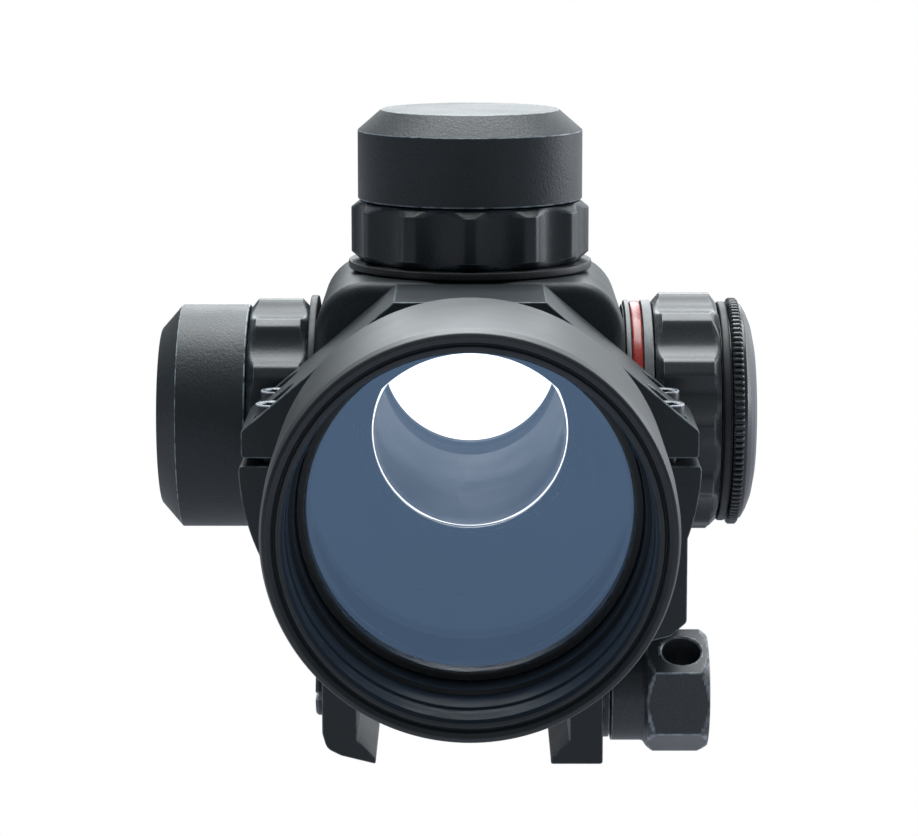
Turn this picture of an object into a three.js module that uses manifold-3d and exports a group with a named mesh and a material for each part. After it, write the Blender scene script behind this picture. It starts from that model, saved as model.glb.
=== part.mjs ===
// Tube-type red dot sight with a split-ring rail mount, in millimetres.
// Frame: origin on the rail seat, +X to the battery side, +Y towards the eye, +Z up.
import * as THREE from 'three';
import Module from 'manifold-3d';
import { mergeVertices } from 'three/addons/utils/BufferGeometryUtils.js';

const wasm = await Module();
wasm.setup();

// ---- Driving dimensions ----
const axisHeight = 33.2; // optical axis above the rail seat
const rimOffset = 57.3; // that plane ahead of the origin
const fitGap = 0.15; // gap between pieces that are fixed together
const runGap = 0.25; // gap between pieces that move on each other
const fineSides = 32; // sides of the large round pieces
const turretSides = 24; // sides of the turret pieces
const coarseSides = 16; // sides of the small round pieces

// Tube, with lengths measured along the optical axis from a plane just inside the front rim
const bellFront = -5;
const bellRadius = 23.7;
const mouthRadius = 20.8;
const tubeRadius = 17;
const tubeBore = 15.3;
const bellEnd = 41;
const housingEnd = 98;
const eyepieceEnd = 138;
const lensFront = 14.2;
const lensThickness = 3;

// Inner tube, which carries the dot optics and tilts on a gimbal
const innerTubeFront = 65.1;
const innerTubeEnd = 121.5;
const innerTubeRadius = 14.1;
const innerTubeBore = 13.1;
const gimbalY = 118;
const ledAcross = 10.4; // emitter centre, before it is turned to its place
const ledDrop = -4.2;
const ledClock = 80; // turned up from the right side, above the line of sight

// Turret block
const turretY = 77.8;
const blockFront = 61.4;
const blockEnd = 94.4;
const blockHalf = 20.3;
const blockCorner = 7;

// Elevation and windage turrets, with heights measured from the optical axis
const gasketRadius = 16.35;
const fluteRadius = 15.95;
const fluteDepth = 0.95;
const fluteCount = 12;
const ringBottom = 21.6;
const ringTop = 29.45;
const capRadius = 15.07;
const capTopRadius = 11.9;
const capBottom = 29.7;
const capShoulder = 38.85;
const capTop = 41.6;
const capLip = 1.5; // wall of the cap
const stemRadius = 10.8;
const dialShaft = 4;
const plungerRadius = 2.4;

// Rheostat turret, with lengths measured from the optical axis
const rheostatRise = 0.6; // its axis above the optical axis
const flangeRadius = 15.1;
const flangeInner = 20.75;
const bandStart = 21.4;
const bandEnd = 23.0;
const flangeOuter = 24.3;
const dialStart = 24.55;
const dialEnd = 33.1;
const dialRadius = 16.15;
const knurlStart = 34.75;
const knurlEnd = 36.1;
const knurlRadius = 15.35;
const domeEnd = 38.4;
const cellRadius = 10;
const cellThickness = 3.2;

// Mount
const mountFront = 42.6;
const mountEnd = 60.4;
const splitGap = 1;
const ringTopZ = 20.2;
const ringTopHalf = 9.5;
const lugHalf = 28.7;
const lugTopZ = 3.9;
const baseRadius = 29.1;
const screwX = 24.8;
const screwHeadTop = 6.9;
const screwSpacing = 10.4;
const seatZ = -axisHeight;
const clawBottom = -39.1;
const clawTilt = 2.35; // depth and height of the 45 degree claw flank
const clawWallX = 12.65;
const flankTop = -36;
const jawWallX = -14.35;
const clampY = 51.5;
const clampZ = -31.7;
const boltRadius = 2.5;
const nutFlats = 14.1;
const nutStart = 23;
const nutEnd = 30.7;
const pinRadius = 0.75;
const frontPinY = mountFront + 3.2;
const rearPinY = mountEnd - 3.2;

// ---- Materials ----
function finish(color, roughness, metalness) {
  return new THREE.MeshStandardMaterial({ color, roughness, metalness });
}
const blackAnodised = () => finish(0x24282b, 0.5, 0.6);
const softBlack = () => finish(0x2b2f31, 0.6, 0.1);
const greyAnodised = () => finish(0x7b8084, 0.45, 0.7);
const blackRubber = () => finish(0x101112, 0.8, 0);
const redRubber = () => finish(0xa83028, 0.35, 0);
const blackSteel = () => finish(0x2a2d30, 0.35, 0.8);
const springSteel = () => finish(0x9a9c9e, 0.3, 1);
const brass = () => finish(0xb5914a, 0.35, 1);
const coatedGlass = () => finish(0x4d617a, 0.05, 0);
const clearGlass = () => finish(0xc8d2d8, 0.05, 0);
const brightRing = () => finish(0xd4d8da, 0.2, 1);
const boardGreen = () => finish(0x1f4a30, 0.5, 0);

// ---- Solids ----
// A closed solid from a three.js geometry, with shared vertices merged and faces pointing out.
function solid(geometry) {
  const bare = geometry.clone();
  bare.deleteAttribute('normal');
  bare.deleteAttribute('uv');
  const merged = mergeVertices(bare, 1e-4);
  const vertProperties = new Float32Array(merged.attributes.position.array);
  const triVerts = outwardTriangles(merged.index.array, vertProperties);
  return new wasm.Manifold(new wasm.Mesh({ numProp: 3, vertProperties, triVerts }));
}

// Triangles without slivers of zero area, turned round if the solid would be inside out.
function outwardTriangles(index, places) {
  const kept = [];
  let volume = 0;
  const [a, b, c] = [new THREE.Vector3(), new THREE.Vector3(), new THREE.Vector3()];
  for (let i = 0; i < index.length; i += 3) {
    const [p, q, r] = [index[i], index[i + 1], index[i + 2]];
    if (p === q || q === r || r === p) continue;
    kept.push([p, q, r]);
    a.fromArray(places, 3 * p);
    b.fromArray(places, 3 * q);
    c.fromArray(places, 3 * r);
    volume += a.dot(b.cross(c));
  }
  const ordered = volume < 0 ? kept.map(([p, q, r]) => [p, r, q]) : kept;
  return new Uint32Array(ordered.flat());
}

function geometryOf(body) {
  const mesh = body.getMesh();
  const geometry = new THREE.BufferGeometry();
  geometry.setAttribute('position', new THREE.BufferAttribute(mesh.vertProperties, 3));
  geometry.setIndex(new THREE.BufferAttribute(mesh.triVerts, 1));
  geometry.computeVertexNormals();
  return geometry;
}

// A solid turned about the Y axis from [radius, y] corners, going once round the section.
function turned(corners, sides = fineSides) {
  const points = corners.map(([radius, y]) => new THREE.Vector2(radius, y));
  points.push(points[0].clone());
  return solid(new THREE.LatheGeometry(points, sides));
}

// The same, standing on the Z axis.
function turnedUp(corners, sides = turretSides) {
  return turned(corners, sides).rotate([90, 0, 0]);
}

function tubeUp(outer, inner, low, high, sides = turretSides) {
  return turnedUp([[inner, low], [outer, low], [outer, high], [inner, high]], sides);
}

function rodUp(radius, low, high, sides = coarseSides) {
  const rod = new THREE.CylinderGeometry(radius, radius, high - low, sides);
  return solid(rod).rotate([90, 0, 0]).translate([0, 0, (low + high) / 2]);
}

function rodAlongX(radius, low, high, sides = coarseSides) {
  return rodUp(radius, low, high, sides).rotate([0, 90, 0]);
}

function rodAlongY(radius, low, high, sides = coarseSides) {
  return rodUp(radius, low, high, sides).rotate([-90, 0, 0]);
}

function block([x0, y0, z0], [x1, y1, z1]) {
  const box = new THREE.BoxGeometry(x1 - x0, y1 - y0, z1 - z0);
  return solid(box).translate([(x0 + x1) / 2, (y0 + y1) / 2, (z0 + z1) / 2]);
}

// A plate with an outline in X and Z, from y0 to y1.
function plate(shape, y0, y1) {
  const options = { depth: y1 - y0, bevelEnabled: false, curveSegments: 8 };
  return solid(new THREE.ExtrudeGeometry(shape, options)).rotate([90, 0, 0]).translate([0, y1, 0]);
}

function outline(corners) {
  return new THREE.Shape(corners.map(([x, z]) => new THREE.Vector2(x, z)));
}

// ---- Scene graph ----
const sight = new THREE.Group();
const tubeGroup = new THREE.Group();
tubeGroup.position.set(0, -rimOffset, axisHeight);
sight.add(tubeGroup);

function turretGroup(turnAboutY, rise) {
  const group = new THREE.Group();
  group.position.set(0, turretY, rise);
  group.rotation.y = turnAboutY;
  tubeGroup.add(group);
  return group;
}
const elevationGroup = turretGroup(0, 0);
const windageGroup = turretGroup(-Math.PI / 2, 0);
const rheostatGroup = turretGroup(Math.PI / 2, rheostatRise);

function add(group, name, body, material) {
  const mesh = new THREE.Mesh(geometryOf(body), material);
  mesh.name = name;
  group.add(mesh);
}

// ---- Tube and optics ----
function objectiveBell() {
  const lensPocket = 20.25;
  const socket = tubeRadius - 1.1;
  const lensBack = lensFront + lensThickness + 0.6;
  return turned([
    [mouthRadius + 0.4, bellFront], [22.6, bellFront], [23.3, bellFront + 0.6],
    [23.5, bellFront + 1.8], [bellRadius, 3], [bellRadius, 21],
    [22.8, 26], [21, 30.6], [18.4, 34.8], [17.4, 36.8], [17.4, bellEnd],
    [socket, bellEnd], [socket, 35.2], [tubeBore, 35.2], [tubeBore, 33.5], [19, lensBack],
    [lensPocket, lensBack], [lensPocket, 7.4], [mouthRadius, 6.9], [mouthRadius, bellFront + 0.8],
  ]);
}

function spannerRing(outer, inner, low, high) {
  const slots = block([-outer, -1, -0.8], [outer, low + 0.8, 0.8]);
  return turned([[inner, low], [outer, low], [outer, high], [inner, high]]).subtract(slots);
}

function lens(radius, front, thickness, bulge) {
  const back = front + thickness;
  return turned([
    [0, front - bulge], [radius * 0.5, front - bulge * 0.75], [radius, front],
    [radius, back], [radius * 0.5, back + bulge * 0.4], [0, back + bulge * 0.5],
  ], 24);
}

function roundedSquare(half, corner) {
  const shape = new THREE.Shape();
  const inner = half - corner;
  shape.moveTo(half, -inner);
  shape.absarc(inner, inner, corner, 0, Math.PI / 2);
  shape.absarc(-inner, inner, corner, Math.PI / 2, Math.PI);
  shape.absarc(-inner, -inner, corner, Math.PI, 1.5 * Math.PI);
  shape.absarc(inner, -inner, corner, 1.5 * Math.PI, 2 * Math.PI);
  return shape;
}

function mainHousing() {
  const spigot = tubeRadius - 1.3;
  const tube = turned([
    [tubeBore, 35.6], [spigot, 35.6], [spigot, bellEnd + fitGap], [tubeRadius, bellEnd + fitGap],
    [tubeRadius, housingEnd - 5], [spigot, housingEnd - 5], [spigot, housingEnd + 3],
    [tubeBore, housingEnd + 3],
  ]);
  const bore = rodAlongY(tubeBore, blockFront - 1, blockEnd + 1, fineSides);
  const turretBlock = plate(roundedSquare(blockHalf, blockCorner), blockFront, blockEnd).subtract(bore);
  const stemHole = rodUp(stemRadius + fitGap, 10, 25, turretSides).translate([0, turretY, 0]);
  const sideHole = rodAlongX(stemRadius + fitGap, 10, 25, turretSides);
  const windageHole = sideHole.rotate([0, 0, 180]).translate([0, turretY, 0]);
  const rheostatHole = sideHole.translate([0, turretY, rheostatRise]);
  return tube.add(turretBlock).subtract(stemHole).subtract(windageHole).subtract(rheostatHole);
}

function eyepieceHousing() {
  const start = housingEnd - 5 + 1.4 + fitGap;
  const pocket = 15.4;
  const gimbalBore = 16.3;
  const holes = rodUp(0.85, -18, 18, 12).translate([0, gimbalY, 0]);
  return turned([
    [15.9, start], [18.6, start], [19.2, start + 1], [19.2, 104], [18.4, 105.5], [18.4, 121],
    [19.4, 123], [19.8, 126], [19.8, 136.6], [18.8, eyepieceEnd], [pocket, eyepieceEnd],
    [pocket, 130.6], [13.6, 130.6], [13.6, 124.5], [gimbalBore, 124.5], [gimbalBore, housingEnd + 3.3],
    [15.9, housingEnd + 3.3],
  ]).subtract(holes);
}

function innerTube() {
  const pocket = 13.7;
  const trunnionHoles = rodAlongX(0.85, -15, 15, 12).translate([0, gimbalY, 0]);
  return turned([
    [pocket, innerTubeFront], [innerTubeRadius, innerTubeFront], [innerTubeRadius, innerTubeEnd],
    [innerTubeBore, innerTubeEnd], [innerTubeBore, innerTubeFront + 5], [pocket, innerTubeFront + 5],
  ]).subtract(trunnionHoles);
}

function gimbalRing() {
  const pinHoles = rodUp(0.85, -17, 17, 12).add(rodAlongX(0.85, -17, 17, 12));
  const ring = turned([[14.5, -1.9], [15.9, -1.9], [15.9, 1.9], [14.5, 1.9]]).subtract(pinHoles);
  return ring.translate([0, gimbalY, 0]);
}

// One gimbal pin, standing out from the optical axis at an angle about it.
function gimbalPin(inner, outer, angle) {
  return rodUp(0.6, inner, outer, 12).rotate([0, angle, 0]).translate([0, gimbalY, 0]);
}

// Leaf spring between tube and housing at the lower right, opposite both adjusters.
function biasSpring() {
  const [start, end, width, thickness, bow] = [68, 87, 4, 0.25, 0.9];
  const leaf = new THREE.Shape();
  leaf.moveTo(start, 0);
  leaf.quadraticCurveTo(turretY, bow, end, 0);
  leaf.lineTo(end, thickness);
  leaf.quadraticCurveTo(turretY, bow + thickness, start, thickness);
  leaf.lineTo(start, 0);
  const pressing = { depth: width, bevelEnabled: false, curveSegments: 8 };
  const strip = solid(new THREE.ExtrudeGeometry(leaf, pressing));
  const lying = strip.translate([0, innerTubeRadius + 0.2, -width / 2]).rotate([0, 0, 90]);
  return lying.rotate([0, 225, 0]);
}

function buildTube() {
  add(tubeGroup, 'objective_bell', objectiveBell(), softBlack());
  add(tubeGroup, 'front_lens_ring', spannerRing(20.1, 19.05, 11.2, 13.9), blackAnodised());
  add(tubeGroup, 'objective_lens', lens(20.1, lensFront, lensThickness, 0.25), coatedGlass());
  add(tubeGroup, 'main_housing', mainHousing(), blackAnodised());
  add(tubeGroup, 'eyepiece_housing', eyepieceHousing(), blackAnodised());
  add(tubeGroup, 'rear_lens', lens(15.2, 130.9, 2.2, 0.1), clearGlass());
  const rearRing = spannerRing(15.25, 13.3, -2.2, 0).rotate([0, 0, 180]).translate([0, 133.5, 0]);
  add(tubeGroup, 'rear_lens_ring', rearRing, blackAnodised());
  add(tubeGroup, 'inner_tube', innerTube(), blackAnodised());
  add(tubeGroup, 'collimator_lens', lens(13.55, innerTubeFront + 1.8, 2.9, 0.1), clearGlass());
  const brightEdge = spannerRing(13.55, 12.95, 0, 1.4).translate([0, innerTubeFront - 0.05, 0]);
  add(tubeGroup, 'collimator_ring', brightEdge, brightRing());
  const bracket = block([8.9, 111, -6], [12.3, 114.6, -2.4]);
  const seat = rodAlongY(1, 110, 112.4, 16).translate([ledAcross, 0, ledDrop]);
  const foot = rodAlongY(innerTubeBore - 0.2, 100, 116, fineSides);
  const mounted = bracket.intersect(foot).subtract(seat).rotate([0, -ledClock, 0]);
  add(tubeGroup, 'led_bracket', mounted, blackAnodised());
  const emitter = rodAlongY(0.8, 110.6, 112.1, 16).translate([ledAcross, 0, ledDrop]);
  add(tubeGroup, 'led_emitter', emitter.rotate([0, -ledClock, 0]), redRubber());
  add(tubeGroup, 'gimbal_ring', gimbalRing(), brass());
  add(tubeGroup, 'gimbal_pin_top', gimbalPin(15.2, 17.6, 0), springSteel());
  add(tubeGroup, 'gimbal_pin_bottom', gimbalPin(15.2, 17.6, 180), springSteel());
  add(tubeGroup, 'gimbal_pin_right', gimbalPin(13.4, 15.6, 90), springSteel());
  add(tubeGroup, 'gimbal_pin_left', gimbalPin(13.4, 15.6, -90), springSteel());
  add(tubeGroup, 'bias_spring', biasSpring(), springSteel());
}

// ---- Turrets ----
// Outline of a ring with narrow lands and concave flutes between them.
function flutedShape(radius) {
  const landShare = 0.3;
  const fluteSteps = 4;
  const pitch = (2 * Math.PI) / fluteCount;
  const points = [];
  for (let flute = 0; flute < fluteCount; flute++) {
    for (let step = 0; step <= fluteSteps; step++) {
      const along = step / fluteSteps;
      const angle = (flute + landShare / 2 + along * (1 - landShare)) * pitch;
      const reach = radius - fluteDepth * Math.sin(Math.PI * along);
      points.push(new THREE.Vector2(reach * Math.cos(angle), reach * Math.sin(angle)));
    }
  }
  return new THREE.Shape(points);
}

function flutedDrum(radius, low, high, chamfer) {
  const options = { depth: high - low, bevelEnabled: false };
  const prism = solid(new THREE.ExtrudeGeometry(flutedShape(radius), options));
  const limit = radius + 0.1;
  const envelope = turnedUp([
    [0, low], [limit - chamfer, low], [limit, low + chamfer * 0.8],
    [limit, high - chamfer * 0.8], [limit - chamfer, high], [0, high],
  ]);
  return prism.translate([0, 0, low]).intersect(envelope);
}

function turretRing() {
  const drum = flutedDrum(fluteRadius, ringBottom, ringTop, 1.2);
  const stem = rodUp(stemRadius, 16.2, ringBottom + 1, turretSides);
  const collar = rodUp(12.9, ringTop - 1, 33, turretSides).add(stem);
  const shaftBore = rodUp(dialShaft + runGap, 15, 40);
  const dialWell = rodUp(7.4, 28.5, 40, turretSides);
  const sealGroove = tubeUp(14, 12.3, 30.1, 31.3);
  return drum.add(collar).subtract(shaftBore).subtract(dialWell).subtract(sealGroove);
}

function turretCap() {
  return turnedUp([
    [0, capTop], [capTopRadius, capTop], [capRadius, capShoulder], [capRadius, capBottom],
    [capRadius - capLip, capBottom], [capRadius - capLip, capShoulder - 0.8], [0, capShoulder - 0.8],
  ]);
}

function adjusterDial() {
  const knob = turnedUp([
    [0, 28.8], [7.1, 28.8], [7.1, 35.2], [6.4, 36], [0, 36],
  ]);
  const shaft = rodUp(dialShaft, 17.8, 29.5);
  const coinSlot = block([-6, -0.7, 34.4], [6, 0.7, 37]);
  const bore = rodUp(plungerRadius + runGap, 17, 29.9);
  return knob.add(shaft).subtract(coinSlot).subtract(bore);
}

function plunger() {
  const tip = innerTubeRadius + 0.3;
  return turnedUp([[0, tip], [1.6, tip], [plungerRadius, tip + 0.8], [plungerRadius, 26.5], [0, 26.5]], 20);
}

function buildAdjuster(group, prefix) {
  add(group, `${prefix}_gasket`, tubeUp(gasketRadius, stemRadius + 0.3, 20.45, 21.45), blackRubber());
  add(group, `${prefix}_ring`, turretRing(), blackAnodised());
  add(group, `${prefix}_seal`, tubeUp(13.3, 12.45, 30.25, 31.15), blackRubber());
  add(group, `${prefix}_scale_plate`, tubeUp(12.6, 7.5, 33.15, 33.65), greyAnodised());
  add(group, `${prefix}_cap`, turretCap(), blackAnodised());
  add(group, `${prefix}_dial`, adjusterDial(), greyAnodised());
  add(group, `${prefix}_plunger`, plunger(), brass());
}

// ---- Rheostat turret ----
function rheostatBase() {
  const body = turnedUp([
    [5, 16.2], [stemRadius, 16.2], [stemRadius, flangeInner], [flangeRadius, flangeInner],
    [flangeRadius, bandStart - 0.05], [13.8, bandStart - 0.05], [13.8, bandEnd + 0.05],
    [flangeRadius, bandEnd + 0.05], [flangeRadius, flangeOuter], [6, flangeOuter], [6, 27.35],
    [5.3, 27.35], [5.3, 28.25], [6, 28.25], [6, 28.6], [5, 28.6],
  ]);
  return body.subtract(rodUp(1.3, 22.2, 26, 16).translate([10, 0, 0]));
}

function rheostatDial() {
  const drum = flutedDrum(dialRadius, dialStart, dialEnd, 1.2);
  const cellWell = rodUp(13.2, 27, 40, turretSides);
  const shaftBore = rodUp(6 + runGap, 20, 30, turretSides);
  return drum.subtract(cellWell).subtract(shaftBore);
}

function batteryCap() {
  const shell = turnedUp([
    [11.6, 30.6], [12.9, 30.6], [12.9, 33.3], [13.6, 33.3], [13.6, knurlStart], [knurlRadius, knurlStart],
    [knurlRadius, knurlEnd], [14.6, knurlEnd + 0.5], [12, domeEnd - 0.5], [8, domeEnd], [0, domeEnd],
    [0, 35.6], [11.6, 35.6],
  ]);
  return shell.subtract(block([-6, -0.8, domeEnd - 0.7], [6, 0.8, domeEnd + 1]));
}

function contactSpring() {
  return turnedUp([[4.2, 33.2], [5, 33.2], [7, 35.3], [6.2, 35.3]], 24);
}

function buildRheostat() {
  add(rheostatGroup, 'rheostat_gasket', tubeUp(14.5, stemRadius + 0.3, 20.45, 20.65), blackRubber());
  add(rheostatGroup, 'rheostat_base', rheostatBase(), greyAnodised());
  add(rheostatGroup, 'rheostat_index_band', tubeUp(14.9, 13.95, bandStart + 0.1, bandEnd - 0.1), redRubber());
  const ball = solid(new THREE.SphereGeometry(1, 12, 8)).translate([10, 0, 23.25]);
  add(rheostatGroup, 'detent_ball', ball, springSteel());
  add(rheostatGroup, 'rheostat_clip', tubeUp(7.6, 5.5, 27.5, 28.1), springSteel());
  add(rheostatGroup, 'rheostat_dial', rheostatDial(), blackAnodised());
  add(rheostatGroup, 'rheostat_board', tubeUp(11.2, 7.9, 28.75, 29.35), boardGreen());
  add(rheostatGroup, 'coin_cell', rodUp(cellRadius, 29.6, 29.6 + cellThickness, turretSides), springSteel());
  add(rheostatGroup, 'contact_spring', contactSpring(), brass());
  add(rheostatGroup, 'battery_cap', batteryCap(), blackAnodised());
  add(rheostatGroup, 'battery_cap_seal', tubeUp(14.9, 13.75, 33.4, 34.5), blackRubber());
}

// ---- Mount ----
// The places of the four ring screws, by name.
const screwPlaces = {
  front_left: [-screwX, clampY - screwSpacing / 2, 0],
  front_right: [screwX, clampY - screwSpacing / 2, 0],
  rear_left: [-screwX, clampY + screwSpacing / 2, 0],
  rear_right: [screwX, clampY + screwSpacing / 2, 0],
};

// A tool for cutting, repeated at each ring screw.
function atRingScrews(tool) {
  const copies = Object.values(screwPlaces).map((place) => tool.translate(place));
  return copies.reduce((joined, copy) => joined.add(copy));
}

function ringCap() {
  const low = splitGap / 2;
  const shell = plate(outline([
    [-lugHalf, low], [lugHalf, low], [lugHalf, lugTopZ], [ringTopHalf, ringTopZ],
    [-ringTopHalf, ringTopZ], [-lugHalf, lugTopZ],
  ]), mountFront, mountEnd);
  const seats = atRingScrews(rodUp(2.65, 4.3, 12).add(rodUp(1.55, -2, 6, 16)));
  return shell.subtract(rodAlongY(tubeRadius + fitGap, 0, 70, fineSides)).subtract(seats);
}

function ringScrew() {
  const headBottom = screwHeadTop - 2.5;
  const shank = rodUp(1.25, -7, headBottom + 0.5, 16);
  const socket = rodUp(1.5, screwHeadTop - 1.3, screwHeadTop + 1, 6);
  return rodUp(2.25, headBottom, screwHeadTop).add(shank).subtract(socket);
}

// Front view of the lower ring half, the rail base and the fixed claw, clockwise from the split.
function baseShape() {
  const low = -splitGap / 2;
  const wallX = 27.4;
  const wallTopZ = -Math.sqrt(baseRadius ** 2 - wallX ** 2);
  const leftZ = -14;
  const leftX = -Math.sqrt(baseRadius ** 2 - leftZ ** 2);
  const splitAngle = Math.asin(low / baseRadius);
  const shape = new THREE.Shape();
  shape.absarc(0, 0, baseRadius, splitAngle, Math.atan2(wallTopZ, wallX), true);
  shape.lineTo(wallX, -20.6);
  shape.lineTo(25.4, -22.4);
  shape.lineTo(16.9, -24.6);
  shape.lineTo(16.9, clawBottom);
  shape.lineTo(clawWallX - clawTilt, clawBottom);
  shape.lineTo(clawWallX - clawTilt, flankTop - clawTilt);
  shape.lineTo(clawWallX, flankTop);
  shape.lineTo(clawWallX, seatZ);
  shape.lineTo(-8.2, seatZ);
  shape.lineTo(-8.2, -22.6);
  shape.lineTo(-17, -22.6);
  shape.lineTo(-19.5, -20);
  shape.absarc(0, 0, baseRadius, Math.atan2(leftZ, leftX), -Math.PI - splitAngle, true);
  return shape;
}

function ringBase() {
  const tube = rodAlongY(tubeRadius + fitGap, 0, 70, fineSides);
  const threads = atRingScrews(rodUp(1.55, -8, 2, 16));
  const boltHole = rodAlongX(boltRadius + runGap, -30, 30).translate([0, clampY, clampZ]);
  const pinHoles = guideHoles(pinRadius + runGap, -12, 1.5);
  return plate(baseShape(), mountFront, mountEnd).subtract(tube).subtract(threads)
    .subtract(boltHole).subtract(pinHoles);
}

// The pins are held in the jaw and slide in the base.
function guidePin(radius, inner, outer, y) {
  return rodAlongX(radius, inner, outer, 12).translate([0, y, -27]);
}

function guideHoles(radius, inner, outer) {
  return guidePin(radius, inner, outer, frontPinY).add(guidePin(radius, inner, outer, rearPinY));
}

// Sliding claw, with a rounded outer corner and the same 45 degree flank as the fixed claw.
function clampJaw() {
  const shape = outline([
    [-18.8, -22.9], [-18.8, -35.1], [-18.4, -36.5], [-17.5, -37.5], [-16.4, -38], [-12.4, clawBottom],
    [jawWallX + clawTilt, clawBottom], [jawWallX + clawTilt, flankTop - clawTilt],
    [jawWallX, flankTop], [jawWallX, -22.9],
  ]);
  const boltHole = rodAlongX(boltRadius + fitGap, -30, 0).translate([0, clampY, clampZ]);
  const pinHoles = guideHoles(pinRadius + fitGap, -17.7, 0);
  return plate(shape, mountFront, mountEnd).subtract(boltHole).subtract(pinHoles);
}

function clampBolt() {
  const head = rodAlongX(3.2, -19.9, -18.95);
  const shank = rodAlongX(boltRadius, -19.5, 22.6);
  return head.add(shank).translate([0, clampY, clampZ]);
}

// Hexagonal nut with a round neck and a cross hole for a bar, a flat facing forwards.
function clampNut() {
  const corner = nutFlats / Math.sqrt(3);
  const hexagon = rodAlongX(corner, nutStart - 0.8, nutEnd, 6).rotate([30, 0, 0]);
  const envelope = turned([
    [0, 18.1], [6.4, 18.1], [6.4, nutStart - 0.8], [corner, nutStart + 0.8], [corner, nutEnd - 1],
    [6.9, nutEnd], [0, nutEnd],
  ], turretSides).rotate([0, 0, -90]);
  const neck = rodAlongX(6.4, 18.1, nutStart, turretSides);
  const thread = rodAlongX(boltRadius + runGap, 10, 29.2);
  const crossHole = rodUp(2.5, -12, 12).rotate([30, 0, 0]).translate([27.1, 0, 0]);
  const body = hexagon.intersect(envelope).add(neck).subtract(thread).subtract(crossHole);
  return body.translate([0, clampY, clampZ]);
}

function buildMount() {
  add(tubeGroup, 'ring_cap', ringCap(), blackAnodised());
  add(tubeGroup, 'ring_base', ringBase(), blackAnodised());
  for (const [corner, place] of Object.entries(screwPlaces)) {
    add(tubeGroup, `ring_screw_${corner}`, ringScrew().translate(place), blackSteel());
  }
  add(tubeGroup, 'clamp_jaw', clampJaw(), blackAnodised());
  add(tubeGroup, 'jaw_guide_pin_front', guidePin(pinRadius, -17.5, -5, frontPinY), springSteel());
  add(tubeGroup, 'jaw_guide_pin_rear', guidePin(pinRadius, -17.5, -5, rearPinY), springSteel());
  add(tubeGroup, 'clamp_bolt', clampBolt(), blackSteel());
  const washer = rodAlongX(6, 17.05, 17.9, turretSides).subtract(rodAlongX(boltRadius + runGap, 10, 20));
  add(tubeGroup, 'clamp_washer', washer.translate([0, clampY, clampZ]), blackSteel());
  add(tubeGroup, 'clamp_nut', clampNut(), blackSteel());
}

buildTube();
buildAdjuster(elevationGroup, 'elevation');
buildAdjuster(windageGroup, 'windage');
buildRheostat();
buildMount();

export default sight;
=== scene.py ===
"""Tube-type red dot sight: fine meshes, materials, light and camera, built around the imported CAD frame.

Lengths in the builders below are millimetres in one of the local frames that follow, and place() turns
them into the part's frame. Along the tube they run from a plane just inside the front rim, and on a turret
they run outwards from the optical axis.
"""

import math

import bmesh
import bpy
from mathutils import Matrix, Vector


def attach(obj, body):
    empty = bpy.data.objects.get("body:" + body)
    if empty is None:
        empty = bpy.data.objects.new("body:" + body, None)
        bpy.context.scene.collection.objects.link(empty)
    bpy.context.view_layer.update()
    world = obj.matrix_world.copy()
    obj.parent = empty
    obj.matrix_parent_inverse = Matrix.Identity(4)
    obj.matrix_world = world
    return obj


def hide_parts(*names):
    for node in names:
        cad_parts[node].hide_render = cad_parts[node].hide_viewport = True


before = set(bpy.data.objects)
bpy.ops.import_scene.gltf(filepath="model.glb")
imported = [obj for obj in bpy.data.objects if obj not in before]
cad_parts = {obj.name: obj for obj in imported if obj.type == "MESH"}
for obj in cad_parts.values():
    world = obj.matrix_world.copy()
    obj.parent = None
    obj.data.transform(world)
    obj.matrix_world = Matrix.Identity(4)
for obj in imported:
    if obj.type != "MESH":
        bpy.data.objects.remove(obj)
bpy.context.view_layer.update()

MM = 0.001
DATUM = 57.3  # plane just inside the front rim, ahead of the part's origin
AXIS = 33.2  # optical axis above the part's origin
TURRET_Y = 77.8  # turrets behind the datum
CLAMP_Y, CLAMP_Z = 51.5, -31.7  # clamp bolt behind the datum and below the optical axis
RHEOSTAT_RISE = 0.6
TURN = 2 * math.pi


def local_frame(origin, along, across):
    """Matrix to the part's frame from a local one in mm, whose Z runs along one axis and X along another."""
    z, x = Vector(along), Vector(across)
    y = z.cross(x)
    turn = Matrix((x, y, z)).transposed().to_4x4()
    x0, y0, z0 = origin
    start = Matrix.Translation((x0 * MM, (y0 - DATUM) * MM, (z0 + AXIS) * MM))
    return start @ turn @ Matrix.Scale(MM, 4)


TUBE = local_frame((0, 0, 0), (0, 1, 0), (1, 0, 0))
PLATE = local_frame((0, 0, 0), (0, 0, 1), (1, 0, 0))
ELEVATION = local_frame((0, TURRET_Y, 0), (0, 0, 1), (1, 0, 0))
WINDAGE = local_frame((0, TURRET_Y, 0), (-1, 0, 0), (0, 0, 1))
RHEOSTAT = local_frame((0, TURRET_Y, RHEOSTAT_RISE), (1, 0, 0), (0, 0, -1))
CLAMP = local_frame((0, CLAMP_Y, CLAMP_Z), (1, 0, 0), (0, 0, 1))


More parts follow.
